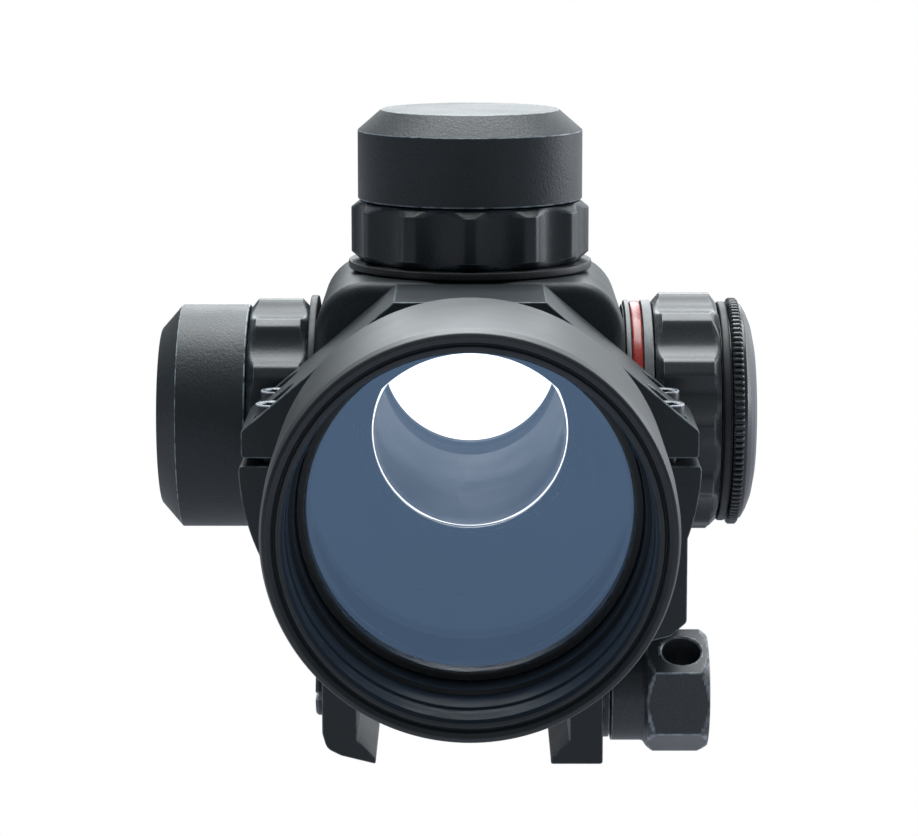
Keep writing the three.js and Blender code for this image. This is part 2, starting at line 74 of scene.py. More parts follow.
# ---- Materials ----
class Nodes:
    """Short calls for building the node tree of a material or a world."""

    def __init__(self, owner):
        owner.use_nodes = True
        self.tree = owner.node_tree

    def new(self, kind, **values):
        """A node with its properties, or else its inputs, set by name."""
        node = self.tree.nodes.new(kind)
        for key, value in values.items():
            if hasattr(node, key):
                setattr(node, key, value)
            else:
                node.inputs[key.replace("_", " ")].default_value = value
        return node

    def link(self, source, target):
        self.tree.links.new(source, target)

    def position(self, space):
        """The X, Y and Z outputs of a texture coordinate."""
        split = self.new("ShaderNodeSeparateXYZ")
        self.link(self.new("ShaderNodeTexCoord").outputs[space], split.inputs[0])
        return split.outputs

    def span(self, value, low, high, from_low=0.3, from_high=0.7, kind="LINEAR"):
        """The value's range from_low to from_high, spread over low to high."""
        node = self.new("ShaderNodeMapRange", interpolation_type=kind, From_Min=from_low, From_Max=from_high,
                        To_Min=low, To_Max=high)
        self.link(value, node.inputs["Value"])
        return node.outputs["Result"]

    def ramp(self, value, start, end, at_start, at_end):
        """A smooth step from at_start to at_end while the value goes from start to end."""
        return self.span(value, at_start, at_end, start, end, "SMOOTHSTEP")

    def compute(self, operation, first, second):
        """One operation on two values, each a number or a socket."""
        node = self.new("ShaderNodeMath", operation=operation)
        for socket, value in zip(node.inputs, (first, second)):
            if isinstance(value, (int, float)):
                socket.default_value = value
            else:
                self.link(value, socket)
        return node.outputs[0]

    def product(self, *values):
        result = values[0]
        for value in values[1:]:
            result = self.compute("MULTIPLY", result, value)
        return result

    def mix(self, factor, first, second):
        """Colour mix, where each colour is a tuple or a socket."""
        node = self.new("ShaderNodeMix", data_type="RGBA")
        sockets = [s for s in node.inputs if s.type == "RGBA"]
        self.link(factor, node.inputs["Factor"])
        for socket, colour in zip(sockets, (first, second)):
            if isinstance(colour, tuple):
                socket.default_value = (*colour, 1)
            else:
                self.link(colour, socket)
        return [s for s in node.outputs if s.type == "RGBA"][0]


class Finish(Nodes):
    """The node tree of one material around its principled shader."""

    def __init__(self, name):
        self.material = bpy.data.materials.new(name)
        super().__init__(self.material)
        self.shader = self.tree.nodes["Principled BSDF"]
        self.coordinates = self.new("ShaderNodeTexCoord").outputs["Object"]

    def noise(self, size_mm, detail, stretch=(1, 1, 1)):
        """Noise with features of about size_mm."""
        mapping = self.new("ShaderNodeMapping", Scale=stretch)
        self.link(self.coordinates, mapping.inputs["Vector"])
        noise = self.new("ShaderNodeTexNoise", Scale=1000 / size_mm, Detail=detail)
        self.link(mapping.outputs["Vector"], noise.inputs["Vector"])
        return noise.outputs["Fac"]

    def bump(self, height, depth_mm, under=None):
        node = self.new("ShaderNodeBump", Strength=1.0, Distance=depth_mm * MM)
        self.link(height, node.inputs["Height"])
        if under:
            self.link(under, node.inputs["Normal"])
        return node.outputs["Normal"]

    def finished(self, **values):
        """The material, once each named input of its shader is linked to a socket or set to a value."""
        for key, value in values.items():
            socket = self.shader.inputs[key.replace("_", " ")]
            if isinstance(value, bpy.types.NodeSocket):
                self.link(value, socket)
            else:
                socket.default_value = value
        return self.material


def scaled(colour, factor):
    return tuple(min(1.0, c * factor) for c in colour)


# Matt black for the bores behind the objective, darker than real paint: partly real matt paint, partly
# painted shade.
MATT_PAINT_AND_SHADE = (0.0025, 0.0025, 0.003)
PAINTED_BORES = ((20.6, 13.0, 22.0), (18.4, 22.0, 30.0), (17.2, 30.0, 35.3), (16.2, 34.0, 131.5))  # r, ends
PAINT_FADE = 0.05
PAINT_END_FADE = 0.1


def bore_paint_and_shade(n):
    """One on the bores behind the objective, which are painted dead matt so no stray light bounces, and
    darker than real paint as painted shade.
    """
    x, y, z = n.position("Object")
    height = n.compute("SUBTRACT", z, AXIS * MM)
    square = n.compute("ADD", n.product(x, x), n.product(height, height))
    painted = None
    for radius, start, end in PAINTED_BORES:
        near = n.span(square, 1.0, 0.0, (radius * MM) ** 2, ((radius + PAINT_FADE) * MM) ** 2)
        after = n.span(y, 0.0, 1.0, (start - DATUM) * MM, (start - DATUM + PAINT_END_FADE) * MM)
        before = n.span(y, 1.0, 0.0, (end - DATUM) * MM, (end - DATUM + PAINT_END_FADE) * MM)
        zone = n.product(near, after, before)
        painted = n.compute("MAXIMUM", painted, zone) if painted else zone
    return painted


def coated_metal(name, colour, rough, grain_mm, grain_depth, speckle=0.35, edge_wear_and_highlight=2.5, specular=0.5,
                 inside=False, least_wear_and_highlight=0.25):
    """Blasted and coated metal: a fine speckled grain, soft patches, and lighter edges that are partly wear
    and partly a painted highlight.
    """
    n = Finish(name)
    grain = n.noise(grain_mm, 2.5)
    patches = n.noise(9.0, 3.0)
    dark, light = scaled(colour, 1 - speckle), scaled(colour, 1 + speckle)
    speckled = n.mix(n.span(grain, 0, 1, 0.36, 0.66), dark, light)
    # Edges are lightened by their curvature: partly real wear of the coating, partly a painted highlight.
    edge = n.new("ShaderNodeAttribute", attribute_name="edge").outputs["Fac"]
    wear_and_highlight = n.product(edge, n.span(n.noise(1.2, 3.0), least_wear_and_highlight, 1.0, 0.35, 0.6))
    base = n.mix(wear_and_highlight, speckled, scaled(colour, edge_wear_and_highlight))
    normal = n.bump(grain, grain_depth, n.bump(n.noise(grain_mm * 3.1, 1.0), grain_depth * 0.8))
    roughness = n.span(patches, rough - 0.04, rough + 0.05)
    # Inside the bores the colour is darkened as painted shade, on top of the real matt paint.
    if inside:
        painted = bore_paint_and_shade(n)
        base = n.mix(painted, base, MATT_PAINT_AND_SHADE)
        roughness = n.compute("ADD", roughness, n.product(painted, 0.5))
        specular = n.span(painted, specular, 0.02, 0.0, 1.0)
    return n.finished(Base_Color=base, Roughness=roughness, Normal=normal, Specular_IOR_Level=specular)


def turned_metal(name, colour, rough, line_mm):
    """Bright machined metal with fine tool lines and slight tarnish."""
    n = Finish(name)
    lines = n.noise(line_mm, 1.0, (1.0, 1.0, 0.12))
    tarnish = n.noise(3.0, 4.0)
    base = n.mix(n.span(tarnish, 0, 1, 0.35, 0.65), scaled(colour, 0.86), scaled(colour, 1.1))
    roughness = n.span(n.noise(0.6, 3.0), rough - 0.06, rough + 0.08)
    return n.finished(Base_Color=base, Roughness=roughness, Normal=n.bump(lines, 0.002), Metallic=1.0)


def moulded(name, colour, rough, grain_mm=0.25, depth=0.004, coat=0.0):
    """Rubber or plastic with a faint moulded grain."""
    n = Finish(name)
    cloud = n.noise(2.4, 3.0)
    base = n.mix(n.span(cloud, 0, 1, 0.35, 0.65), scaled(colour, 0.85), scaled(colour, 1.15))
    roughness = n.span(n.noise(1.1, 3.0), rough - 0.05, rough + 0.05)
    return n.finished(Base_Color=base, Roughness=roughness, Normal=n.bump(n.noise(grain_mm, 2.0), depth),
                      Coat_Weight=coat, Coat_Roughness=0.12)


def glass(name, colour, tint, index, veil_glow=(0, 0, 0)):
    """Coated optical glass with a faint film. Its veil glow is an emission: a painted reflection of the
    coating that is the same at any angle.
    """
    n = Finish(name)
    film = n.mix(n.span(n.noise(6.0, 4.0), 0, 1, 0.4, 0.62), colour, scaled(colour, 0.96))
    return n.finished(Base_Color=film, Roughness=0.0, Specular_Tint=(*tint, 1), IOR=index,
                      Transmission_Weight=1.0, Emission_Color=(*veil_glow, 1), Emission_Strength=1.0)


BLASTED = coated_metal("blasted_black", (0.030, 0.038, 0.044), 0.40, 0.15, 0.045, speckle=0.2, edge_wear_and_highlight=13.0,
                       least_wear_and_highlight=0.08)
HOUSING = coated_metal("housing_black", (0.027, 0.035, 0.041), 0.45, 0.2, 0.012, speckle=0.3, inside=True)
MOUNT_BLACK = coated_metal("mount_black", (0.026, 0.034, 0.039), 0.42, 0.16, 0.026, speckle=0.16, edge_wear_and_highlight=7.0)
SATIN = coated_metal("satin_black", (0.025, 0.032, 0.037), 0.34, 0.14, 0.006, speckle=0.2, edge_wear_and_highlight=4.0)
EYEPIECE = coated_metal("eyepiece_black", (0.025, 0.032, 0.037), 0.34, 0.14, 0.006, speckle=0.2, inside=True)
DIAL = coated_metal("dial_grey_black", (0.052, 0.057, 0.064), 0.25, 0.2, 0.006, speckle=0.12, edge_wear_and_highlight=5.0)
CELL_CAP = coated_metal("cell_cap_black", (0.034, 0.037, 0.042), 0.26, 0.3, 0.003, speckle=0.1, edge_wear_and_highlight=3.0,
                        specular=0.7)
RING_BLACK = coated_metal("ring_black", (0.022, 0.029, 0.034), 0.32, 0.15, 0.026, speckle=0.16, edge_wear_and_highlight=6.0)
BELL = coated_metal("bell_black", (0.032, 0.039, 0.045), 0.38, 0.4, 0.0006, speckle=0.06, edge_wear_and_highlight=1.8,
                    inside=True)
BORE = coated_metal("bore_black", (0.005, 0.0055, 0.006), 0.55, 0.3, 0.004, speckle=0.1, edge_wear_and_highlight=1.0,
                    specular=0.05)
GREY = coated_metal("grey_anodised", (0.20, 0.212, 0.222), 0.42, 0.2, 0.012, speckle=0.22, edge_wear_and_highlight=1.6)
STEEL_BLACK = coated_metal("black_steel", (0.062, 0.070, 0.078), 0.34, 0.3, 0.006, speckle=0.15, edge_wear_and_highlight=7.0)
# Dark metal for the collimator ring, whose edges are lightened into a painted glint.
GLINT_EDGE = coated_metal("painted_glint_edge", (0.02, 0.024, 0.028), 0.3, 0.35, 0.03, edge_wear_and_highlight=7.0,
                            specular=0.1, least_wear_and_highlight=0.1)
STEEL = turned_metal("spring_steel", (0.56, 0.57, 0.58), 0.28, 0.08)
CELL = turned_metal("cell_steel", (0.70, 0.70, 0.69), 0.26, 0.1)
BRASS = turned_metal("brass", (0.62, 0.45, 0.20), 0.3, 0.08)
BRIGHT = turned_metal("bright_metal", (0.86, 0.88, 0.90), 0.2, 0.1)
RUBBER = moulded("black_rubber", (0.022, 0.023, 0.024), 0.55)
WASHER = moulded("grey_black_gasket", (0.034, 0.038, 0.042), 0.5)
RED = moulded("red_rubber", (0.40, 0.032, 0.024), 0.28, 0.5, 0.002, coat=0.4)
BOARD = moulded("board_green", (0.016, 0.10, 0.04), 0.3, 0.4, 0.006, coat=0.6)
LED = moulded("led_red", (0.70, 0.02, 0.015), 0.1, 0.5, 0.0005, coat=1.0)
# The coated glass glows faintly blue: a painted reflection of its coating.
COATED_GLASS = glass("coated_glass", (0.95, 0.97, 1.0), (0.42, 0.68, 1.0), 1.45, veil_glow=(0.027, 0.044, 0.072))
CLEAR_GLASS = glass("clear_glass", (0.97, 0.985, 1.0), (0.8, 0.9, 1.0), 1.5)


# ---- Meshes ----
ON_AXIS = 1e-6  # a point this near the axis is on it
STRAIGHT = 0.02  # a corner that turns by less than twice this angle stays as it is
LONGEST_ROUNDING = 0.45  # share of a side that the rounding of a corner may take


def rounded(corners, radius=0.2, steps=3, closed=True):
    """A section with its corners rounded. A corner is (r, a) or (r, a, its own radius)."""
    count = len(corners)
    points = []
    for i, corner in enumerate(corners):
        here = Vector(corner[:2])
        own = corner[2] if len(corner) > 2 else radius
        before, after = Vector(corners[i - 1][:2]), Vector(corners[(i + 1) % count][:2])
        if own <= 0 or abs(here.x) < ON_AXIS or (not closed and i in (0, count - 1)):
            points.append(tuple(here))
            continue
        to_before, to_after = before - here, after - here
        half = to_before.angle(to_after) / 2
        if math.pi / 2 - half < STRAIGHT:
            points.append(tuple(here))
            continue
        limit = LONGEST_ROUNDING * min(to_before.length, to_after.length)
        reach = min(own / math.tan(half), limit)
        start, end = here + to_before.normalized() * reach, here + to_after.normalized() * reach
        for k in range(steps + 1):
            t = k / steps
            points.append(tuple(start * (1 - t) ** 2 + here * 2 * t * (1 - t) + end * t ** 2))
    return points


def arc(centre, radius, start, end, steps):
    """Points on an arc, with angles in degrees."""
    angles = [math.radians(start + (end - start) * k / steps) for k in range(steps + 1)]
    return [(centre[0] + radius * math.cos(a), centre[1] + radius * math.sin(a)) for a in angles]


def threads(radius, start, end, pitch, depth):
    """Corners of fine rounded grooves along a bore, from start to end."""
    count = int(abs(end - start) / pitch)
    step = (end - start) / count
    corners = []
    for k in range(count):
        at = start + k * step
        corners += [(radius, at), (radius, at + 0.3 * step), (radius + depth, at + 0.5 * step),
                    (radius + depth, at + 0.7 * step)]
    return corners + [(radius, end)]


def filled(points, spacing):
    """The same closed section with more points, no further apart than spacing."""
    dense = []
    for i, here in enumerate(points):
        after = points[(i + 1) % len(points)]
        pieces = max(1, math.ceil(math.dist(here, after) / spacing))
        dense += [tuple(h + (a - h) * k / pieces for h, a in zip(here, after)) for k in range(pieces)]
    return dense


def lathe(section, sides=128, reach=None):
    """A closed section of (r, a) corners turned about local Z. reach(angle, r, a) may change each radius."""
    mesh = bmesh.new()
    rings = []
    for r, a in section:
        if r < ON_AXIS:
            rings.append([mesh.verts.new((0, 0, a))] * sides)
            continue
        ring = []
        for k in range(sides):
            angle = TURN * k / sides
            radius = reach(angle, r, a) if reach else r
            ring.append(mesh.verts.new((radius * math.cos(angle), radius * math.sin(angle), a)))
        rings.append(ring)
    for i, ring in enumerate(rings):
        after = rings[(i + 1) % len(rings)]
        for k in range(sides):
            corners = [ring[k], ring[(k + 1) % sides], after[(k + 1) % sides], after[k]]
            distinct = [v for j, v in enumerate(corners) if v not in corners[:j]]
            if len(distinct) > 2:
                mesh.faces.new(distinct)
    return mesh


def inset(outline, distance):
    """A closed outline moved inwards by distance, with mitred corners. The outline runs anticlockwise."""
    moved = []
    for i, here in enumerate(outline):
        before, after = outline[i - 1], outline[(i + 1) % len(outline)]
        one = Vector((here[0] - before[0], here[1] - before[1])).normalized()
        two = Vector((after[0] - here[0], after[1] - here[1])).normalized()
        normal = Vector((-one.y - two.y, one.x + two.x)) / (1 + one.dot(two))
        moved.append((here[0] + normal.x * distance, here[1] + normal.y * distance))
    return moved


def prism(outline, start, end, edge, steps=3):
    """An outline in X and Z extruded along Y, with rounded end edges."""
    mesh = bmesh.new()
    levels = []
    for k in range(steps + 1):
        turn = math.pi / 2 * k / steps
        levels.append((start + edge * (1 - math.sin(turn)), edge * (1 - math.cos(turn))))
    levels.reverse()
    levels += [(start + end - y, d) for y, d in reversed(levels)]
    rings = [[mesh.verts.new((x, y, z)) for x, z in inset(outline, d)] for y, d in levels]
    for ring, after in zip(rings, rings[1:]):
        for k in range(len(ring)):
            mesh.faces.new([ring[k], ring[(k + 1) % len(ring)], after[(k + 1) % len(ring)], after[k]])
    mesh.faces.new(rings[0])
    mesh.faces.new(rings[-1])
    return mesh


def anticlockwise(outline):
    area = sum(a[0] * b[1] - b[0] * a[1] for a, b in zip(outline, outline[1:] + outline[:1]))
    return outline if area > 0 else outline[::-1]


def tidy(mesh):
    """Merges doubled points and turns every face outwards."""
    bmesh.ops.remove_doubles(mesh, verts=mesh.verts, dist=1e-5)
    bmesh.ops.recalc_face_normals(mesh, faces=mesh.faces)
    if mesh.calc_volume(signed=True) < 0:
        bmesh.ops.reverse_faces(mesh, faces=mesh.faces)
    return mesh


def as_object(mesh, name):
    data = bpy.data.meshes.new(name)
    tidy(mesh).to_mesh(data)
    mesh.free()
    made = bpy.data.objects.new(name, data)
    bpy.context.scene.collection.objects.link(made)
    return made


def baked(made, *modifiers):
    """The object with modifiers of (type, settings) applied to its mesh."""
    for kind, settings in modifiers:
        modifier = made.modifiers.new(kind.lower(), kind)
        for key, value in settings.items():
            setattr(modifier, key, value)
    shown = made.evaluated_get(bpy.context.evaluated_depsgraph_get())
    data = bpy.data.meshes.new_from_object(shown)
    made.modifiers.clear()
    old, made.data = made.data, data
    bpy.data.meshes.remove(old)
    return made


def cut(body, *tools, join=False):
    """Body with each tool cut away, or joined to it. The tools are used up."""
    operation = "UNION" if join else "DIFFERENCE"
    for tool in tools:
        baked(body, ("BOOLEAN", {"operation": operation, "object": tool, "solver": "EXACT"}))
        bpy.data.objects.remove(tool)
    return body


def softened(body, width):
    """Rounds every sharp edge."""
    return baked(body, ("BEVEL", {"width": width, "segments": 2, "limit_method": "ANGLE",
                                  "angle_limit": math.radians(40), "miter_outer": "MITER_ARC"}))


NARROW = 0.2  # widest face that counts as part of a rounded edge, in mm
# Edge lightening past these curvatures is partly wear and partly a painted highlight.
WEAR_AND_HIGHLIGHT_START, WEAR_AND_HIGHLIGHT_FULL = 2.0, 6.0  # curvature of an edge where wear starts and where it is complete, per mm


def mark_edges(data):
    """Stores on each narrow face how tightly the surface turns outwards there, for the coatings' wear and
    their painted edge highlights.
    """
    mesh = bmesh.new()
    mesh.from_mesh(data)
    layer = mesh.faces.layers.float.new("edge")
    for face in mesh.faces:
        width = 2 * face.calc_area() / max(face.calc_perimeter(), 1e-9) / MM
        if 0 < width < NARROW:
            turn = max(edge.calc_face_angle_signed(0.0) for edge in face.edges)
            face[layer] = min(1.0, max(0.0, (turn / width - WEAR_AND_HIGHLIGHT_START) / (WEAR_AND_HIGHLIGHT_FULL - WEAR_AND_HIGHLIGHT_START)))
    mesh.to_mesh(data)
    mesh.free()


def place(made, matrix, material, body, slot, *nodes, sharp=36, weighted=True):
    """Puts a local mesh in the part's frame with its finish, hangs it on the empty of the body it rides on,
    and hides the CAD nodes it stands for.
    """
    data = made.data
    data.transform(matrix)
    mark_edges(data)
    data.materials.clear()
    data.materials.append(material)
    data.shade_smooth()
    data.set_sharp_from_angle(angle=math.radians(sharp))
    if weighted:
        modifier = made.modifiers.new("normals", "WEIGHTED_NORMAL")
        modifier.keep_sharp = True
        modifier.weight = 50
    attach(made, body)
    if nodes:
        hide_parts(*nodes)
    return made


def turned(node, section, matrix, material, body, slot, sides, reach=None, **look):
    """A lathe piece that stands for one CAD node."""
    made = as_object(lathe(section, sides, reach), node + "_fine")
    return place(made, matrix, material, body, slot, node, **look)


# ---- Tube and optics ----
def build_bell():
    front = [(20.8, -3.6, 0.2), (21.05, -4.5, 0.2), (21.6, -4.55, 0.2), (21.85, -4.0, 0.3),
             (22.15, -4.75, 0.25), (22.7, -5.0, 0.3), (23.2, -4.7, 0.5), (23.5, -3.4, 1)]
    back = [(23.7, 3, 4), (23.7, 21, 4), (22.8, 26, 4), (21, 30.6, 3), (18.4, 34.8, 2), (17.4, 36.8, 0.8),
            (17.4, 41, 0.25), (15.9, 41, 0.1), (15.9, 35.2, 0), (15.3, 35.2, 0), (15.3, 33.5, 0.2),
            (19, 17.9, 0.2), (20.25, 17.9, 0)]
    mouth = [(20.25, 7.3, 0.2), (20.75, 6.9, 0.2), (20.75, 1.6, 0.3), (21.0, 1.1, 0.4), (20.9, 0.5, 0.4),
             (20.8, -1, 0.6)]
    turned("objective_bell", rounded(front + back + mouth, steps=5), TUBE, BELL, "housing", "bell_black", 192)


def build_lens(node, radius, front, back, bulge, material, body, slot):
    """A lens without power: both faces curve alike, bulging towards the front."""
    steps, land = 14, 0.12
    spread = [(radius - land) * k / steps for k in range(steps)]
    face = [(r, front - bulge * (1 - (r / radius) ** 2)) for r in spread]
    rear = [(r, back - bulge * (1 - (r / radius) ** 2)) for r in reversed(spread)]
    edge = [(radius - land, front), (radius, front + land), (radius, back - land), (radius - land, back)]
    turned(node, face + edge + rear, TUBE, material, body, slot, 128, sharp=50, weighted=False)


def build_rear_lens_ring():
    """A threaded ring with two slots for a spanner in its open face."""
    inner, outer, low, high = 13.3, 15.25, 133.5, 135.7
    section = rounded([(inner, low), (outer, low), (outer, high), (inner, high)], 0.12)
    ring = as_object(lathe(filled(section, 0.5)), "rear_lens_ring_fine")
    for side in (-1, 1):
        middle = (outer - 0.6) * side
        cut(ring, as_object(block(middle - 0.8, middle + 0.8, -0.7, 0.7, high - 0.9, high + 0.9), "tool"))
    place(ring, TUBE, BORE, "housing", "black_anodised", "rear_lens_ring")


def block(x0, x1, y0, y1, z0, z1):
    """A plain box, to cut with or for one mark of a scale."""
    mesh = bmesh.new()
    bmesh.ops.create_cube(mesh, size=1.0)
    for vertex in mesh.verts:
        vertex.co = Vector(((x0 + x1) / 2 + vertex.co.x * (x1 - x0), (y0 + y1) / 2 + vertex.co.y * (y1 - y0),
                            (z0 + z1) / 2 + vertex.co.z * (z1 - z0)))
    return mesh


def rod(radius, low, high, sides=64):
    return lathe([(0, low), (radius, low), (radius, high), (0, high)], sides)


def moved(mesh, matrix):
    mesh.transform(matrix)
    return mesh


def rounded_square(half, corner):
    inner, steps = half - corner, 12
    points = []
    for k, (x, z) in enumerate(((inner, inner), (-inner, inner), (-inner, -inner), (inner, -inner))):
        points += arc((x, z), corner, 90 * k, 90 * (k + 1), steps)
    return points


ALONG_Y = Matrix.Rotation(-math.pi / 2, 4, "X")
ALONG_X = Matrix.Rotation(math.pi / 2, 4, "Y")
TURRET_HOLE = 10.95


def build_housing():
    tube = lathe(rounded([(15.3, 35.6, 0), (15.7, 35.6, 0), (15.7, 41.15, 0), (17, 41.15, 0.15),
                          (17, 93, 0.15), (15.7, 93, 0), (15.7, 101, 0.1), (15.3, 101, 0.1)]), 160)
    body = as_object(moved(tube, ALONG_Y), "main_housing_fine")
    saddle = as_object(prism(rounded_square(20.3, 7), 61.4, 94.4, 1.6, 5), "saddle")
    bore = as_object(moved(rod(16.2, 60, 96, 150), ALONG_Y), "bore")  # clear of the tube's own two walls
    cut(saddle, bore)
    cut(body, saddle, join=True)
    holes = []
    for quarter, rise in ((0, 0), (-1, 0), (1, RHEOSTAT_RISE)):
        spot = Matrix.Translation((0, TURRET_Y, rise)) @ Matrix.Rotation(quarter * math.pi / 2, 4, "Y")
        holes.append(as_object(moved(rod(TURRET_HOLE, 10, 25), spot), "hole"))
    cut(body, *holes)
    place(body, PLATE, HOUSING, "housing", "black_anodised", "main_housing", sharp=40)


def build_eyepiece():
    land, floor, pitch = 19.75, 19.4, 1.05
    grooves = []
    for k in range(9):
        at = 124.9 + k * pitch
        grooves += [(land, at, 0.1), (floor, at + 0.2, 0.1), (floor, at + 0.5, 0.1), (land, at + 0.7, 0.1)]
    front = [(15.9, 94.55, 0), (18.6, 94.55, 0.2), (19.2, 95.5, 0.2), (19.2, 104, 0.3), (18.4, 105.5, 0.8),
             (18.4, 121, 1.5), (19.4, 123, 1.5)]
    rim = [(19.8, 135, 0.3), (19.8, 136.6, 0.6), (18.8, 138, 0.5), (16.2, 138, 0.3), (15.4, 137.2, 0.1)]
    seat = [(15.4, 130.6), (13.6, 130.6), (13.6, 124.5), (16.3, 124.5), (16.3, 101.3), (15.9, 101.3)]
    section = rounded(front + grooves + rim, steps=4)
    section += threads(15.4, 137.0, 133.8, 0.5, 0.1)
    section += rounded(seat, 0.05)
    turned("eyepiece_housing", section, TUBE, EYEPIECE, "housing", "black_anodised", 192)


def build_optics():
    build_bell()
    ring = rounded([(19.05, 11.2, 0.3), (20.1, 11.2, 0.15), (20.1, 13.9, 0.1), (19.05, 13.9, 0.1)], steps=5)
    turned("front_lens_ring", ring, TUBE, SATIN, "housing", "black_anodised", 160)
    build_lens("objective_lens", 20.1, 14.2, 17.2, 0.22, COATED_GLASS, "housing", "coated_glass")
    build_housing()
    build_eyepiece()
    build_lens("rear_lens", 15.2, 130.9, 133.1, 0.06, CLEAR_GLASS, "housing", "clear_glass")
    build_rear_lens_ring()
    inner = [(13.7, 65.1), (14.1, 65.1), (14.1, 121.5), (13.1, 121.5), (13.1, 70.1), (13.7, 70.1)]
    turned("inner_tube", rounded(inner, 0.1), TUBE, BORE, "sight_tube", "black_anodised", 160)
    build_lens("collimator_lens", 13.55, 66.9, 69.8, 0.06, CLEAR_GLASS, "sight_tube", "clear_glass")
    chipped = [(12.95, 65.5, 0.1), (13.05, 65.2, 0.06), (13.2, 65.5, 0.1), (13.36, 65.35, 0.1),
               (13.5, 65.05, 0.08), (13.55, 65.3, 0.05), (13.55, 66.45, 0.1), (12.95, 66.45, 0.1)]
    bright = rounded(chipped, steps=4)
    # The ring's bright edge lines come from its material: a painted glint.
    turned("collimator_ring", bright, TUBE, GLINT_EDGE, "sight_tube", "bright_metal", 192, sharp=70)


# ---- Turrets ----
FLUTES = 12
FLUTE_CUTTER = 6.03  # radius of the cutter that makes the flutes
FLUTE_DEPTH = 1.15
FLUTE_ROUNDING = 0.5
CORE_DEPTH = 0.9  # how far below the floor of a flute the core starts, which the flutes leave alone


def soft_min(a, b, softness):
    near = max(softness - abs(a - b), 0.0) / softness
    return min(a, b) - near * near * softness / 4


def fluted(radius):
    """Radius with round-bottomed flutes between lands, the first land at angle zero."""
    floor = radius - FLUTE_DEPTH
    centre = floor + FLUTE_CUTTER
    pitch = TURN / FLUTES

    def reach(angle, r, a):
        from_middle = (angle / pitch % 1.0 - 0.5) * pitch
        across = centre * math.sin(from_middle)
        if r < floor - CORE_DEPTH or abs(across) >= FLUTE_CUTTER:
            return r
        groove = centre * math.cos(from_middle) - math.sqrt(FLUTE_CUTTER ** 2 - across ** 2)
        return soft_min(r, groove, FLUTE_ROUNDING)

    return reach


def drum_side(radius, low, high):
    """The outer corners of a fluted drum with chamfered ends, from low to high."""
    face, chamfer_in, chamfer_up, edge = radius - 2.6, 1.2, 0.96, 0.15
    outer, inner = radius + 0.02, radius - chamfer_in
    corners = [(face, low), (inner, low, edge), (outer, low + chamfer_up, edge),
               (outer, high - chamfer_up, edge), (inner, high, edge), (face, high)]
    return rounded(corners, closed=False)


def build_turret_ring(prefix, matrix):
    radius, bore = 15.95, 12.9
    section = rounded([(4.25, 16.2), (10.8, 16.2), (10.8, 21.5), (11.6, 21.6)], 0.1, 2, closed=False)
    section += drum_side(radius, 21.6, 29.45)
    section += threads(bore, 29.5, 32.2, 0.6, -0.12)
    section += rounded([(bore, 32.5), (bore, 33), (7.4, 33), (7.4, 28.5), (4.25, 28.5)], 0.15, closed=False)
    turned(prefix + "_ring", filled(section, 0.55), matrix, RING_BLACK, "housing", "black_anodised", 480,
           fluted(radius), sharp=60)


def build_cap(prefix, matrix):
    outer = rounded([(0, 41.6), (11.9, 41.6, 0.25), (15.07, 38.85, 0.16), (15.07, 29.7, 0.2),
                     (13.57, 29.7, 0.2)], steps=4, closed=False)
    section = outer + threads(13.57, 30.4, 33.4, 0.6, 0.12) + [(13.57, 38.05), (0, 38.05)]
    turned(prefix + "_cap", section, matrix, BLASTED, prefix + "_cap", "black_anodised", 192, sharp=40)


GRIPS, GRIP_DEPTH = 48, 0.16


def build_dial(prefix, matrix):
    def gripped(angle, r, a):
        if r > 6.9 and 29.2 < a < 34.9:
            return r - GRIP_DEPTH * (0.5 - 0.5 * math.cos(GRIPS * angle))
        return r

    section = rounded([(2.65, 17.8, 0), (4, 17.8, 0.2), (4, 28.8, 0), (7.1, 28.8, 0.15), (7.1, 35.2, 0.3),
                       (6.4, 36, 0.3), (0, 36)])
    section += [(0, 29.9), (2.65, 29.9)]
    knob = as_object(lathe(filled(section, 0.8), 384, gripped), prefix + "_dial_fine")
    cut(knob, as_object(block(-6.4, 6.4, -0.7, 0.7, 34.4, 37), "tool"))
    place(knob, matrix, GREY, prefix + "_dial", "grey_anodised", prefix + "_dial")
    mark = as_object(dial_mark(5.0, 36.0), prefix + "_dial_mark")
    place(mark, matrix, BRIGHT, prefix + "_dial", "bright_metal", weighted=False)


def dial_mark(radius, top):
    """A small raised dot beside the coin slot that shows how far the dial is turned."""
    section = rounded([(0, top - 0.2), (0.45, top - 0.2), (0.45, top + 0.06, 0.05), (0, top + 0.06)], 0.03)
    return moved(lathe(section, 32), Matrix.Translation((0, radius, 0)))


def build_scale(prefix, matrix):
    """A ring plate with marks all round, where every fifth is longer."""
    plate = rounded([(7.5, 33.15), (12.6, 33.15), (12.6, 33.65), (7.5, 33.65)], 0.1)
    turned(prefix + "_scale_plate", plate, matrix, SATIN, "housing", "grey_anodised", 128)
    marks, count = bmesh.new(), 60
    for k in range(count):
        length = 1.9 if k % 5 == 0 else 1.1
        tick = block(9.1, 9.1 + length, -0.09, 0.09, 33.6, 33.69)
        tick.transform(Matrix.Rotation(TURN * k / count, 4, "Z"))
        part = bpy.data.meshes.new("tick")
        tick.to_mesh(part)
        tick.free()
        marks.from_mesh(part)
        bpy.data.meshes.remove(part)
    made = as_object(marks, prefix + "_scale_marks")
    place(made, matrix, BRIGHT, "housing", "bright_metal", weighted=False)


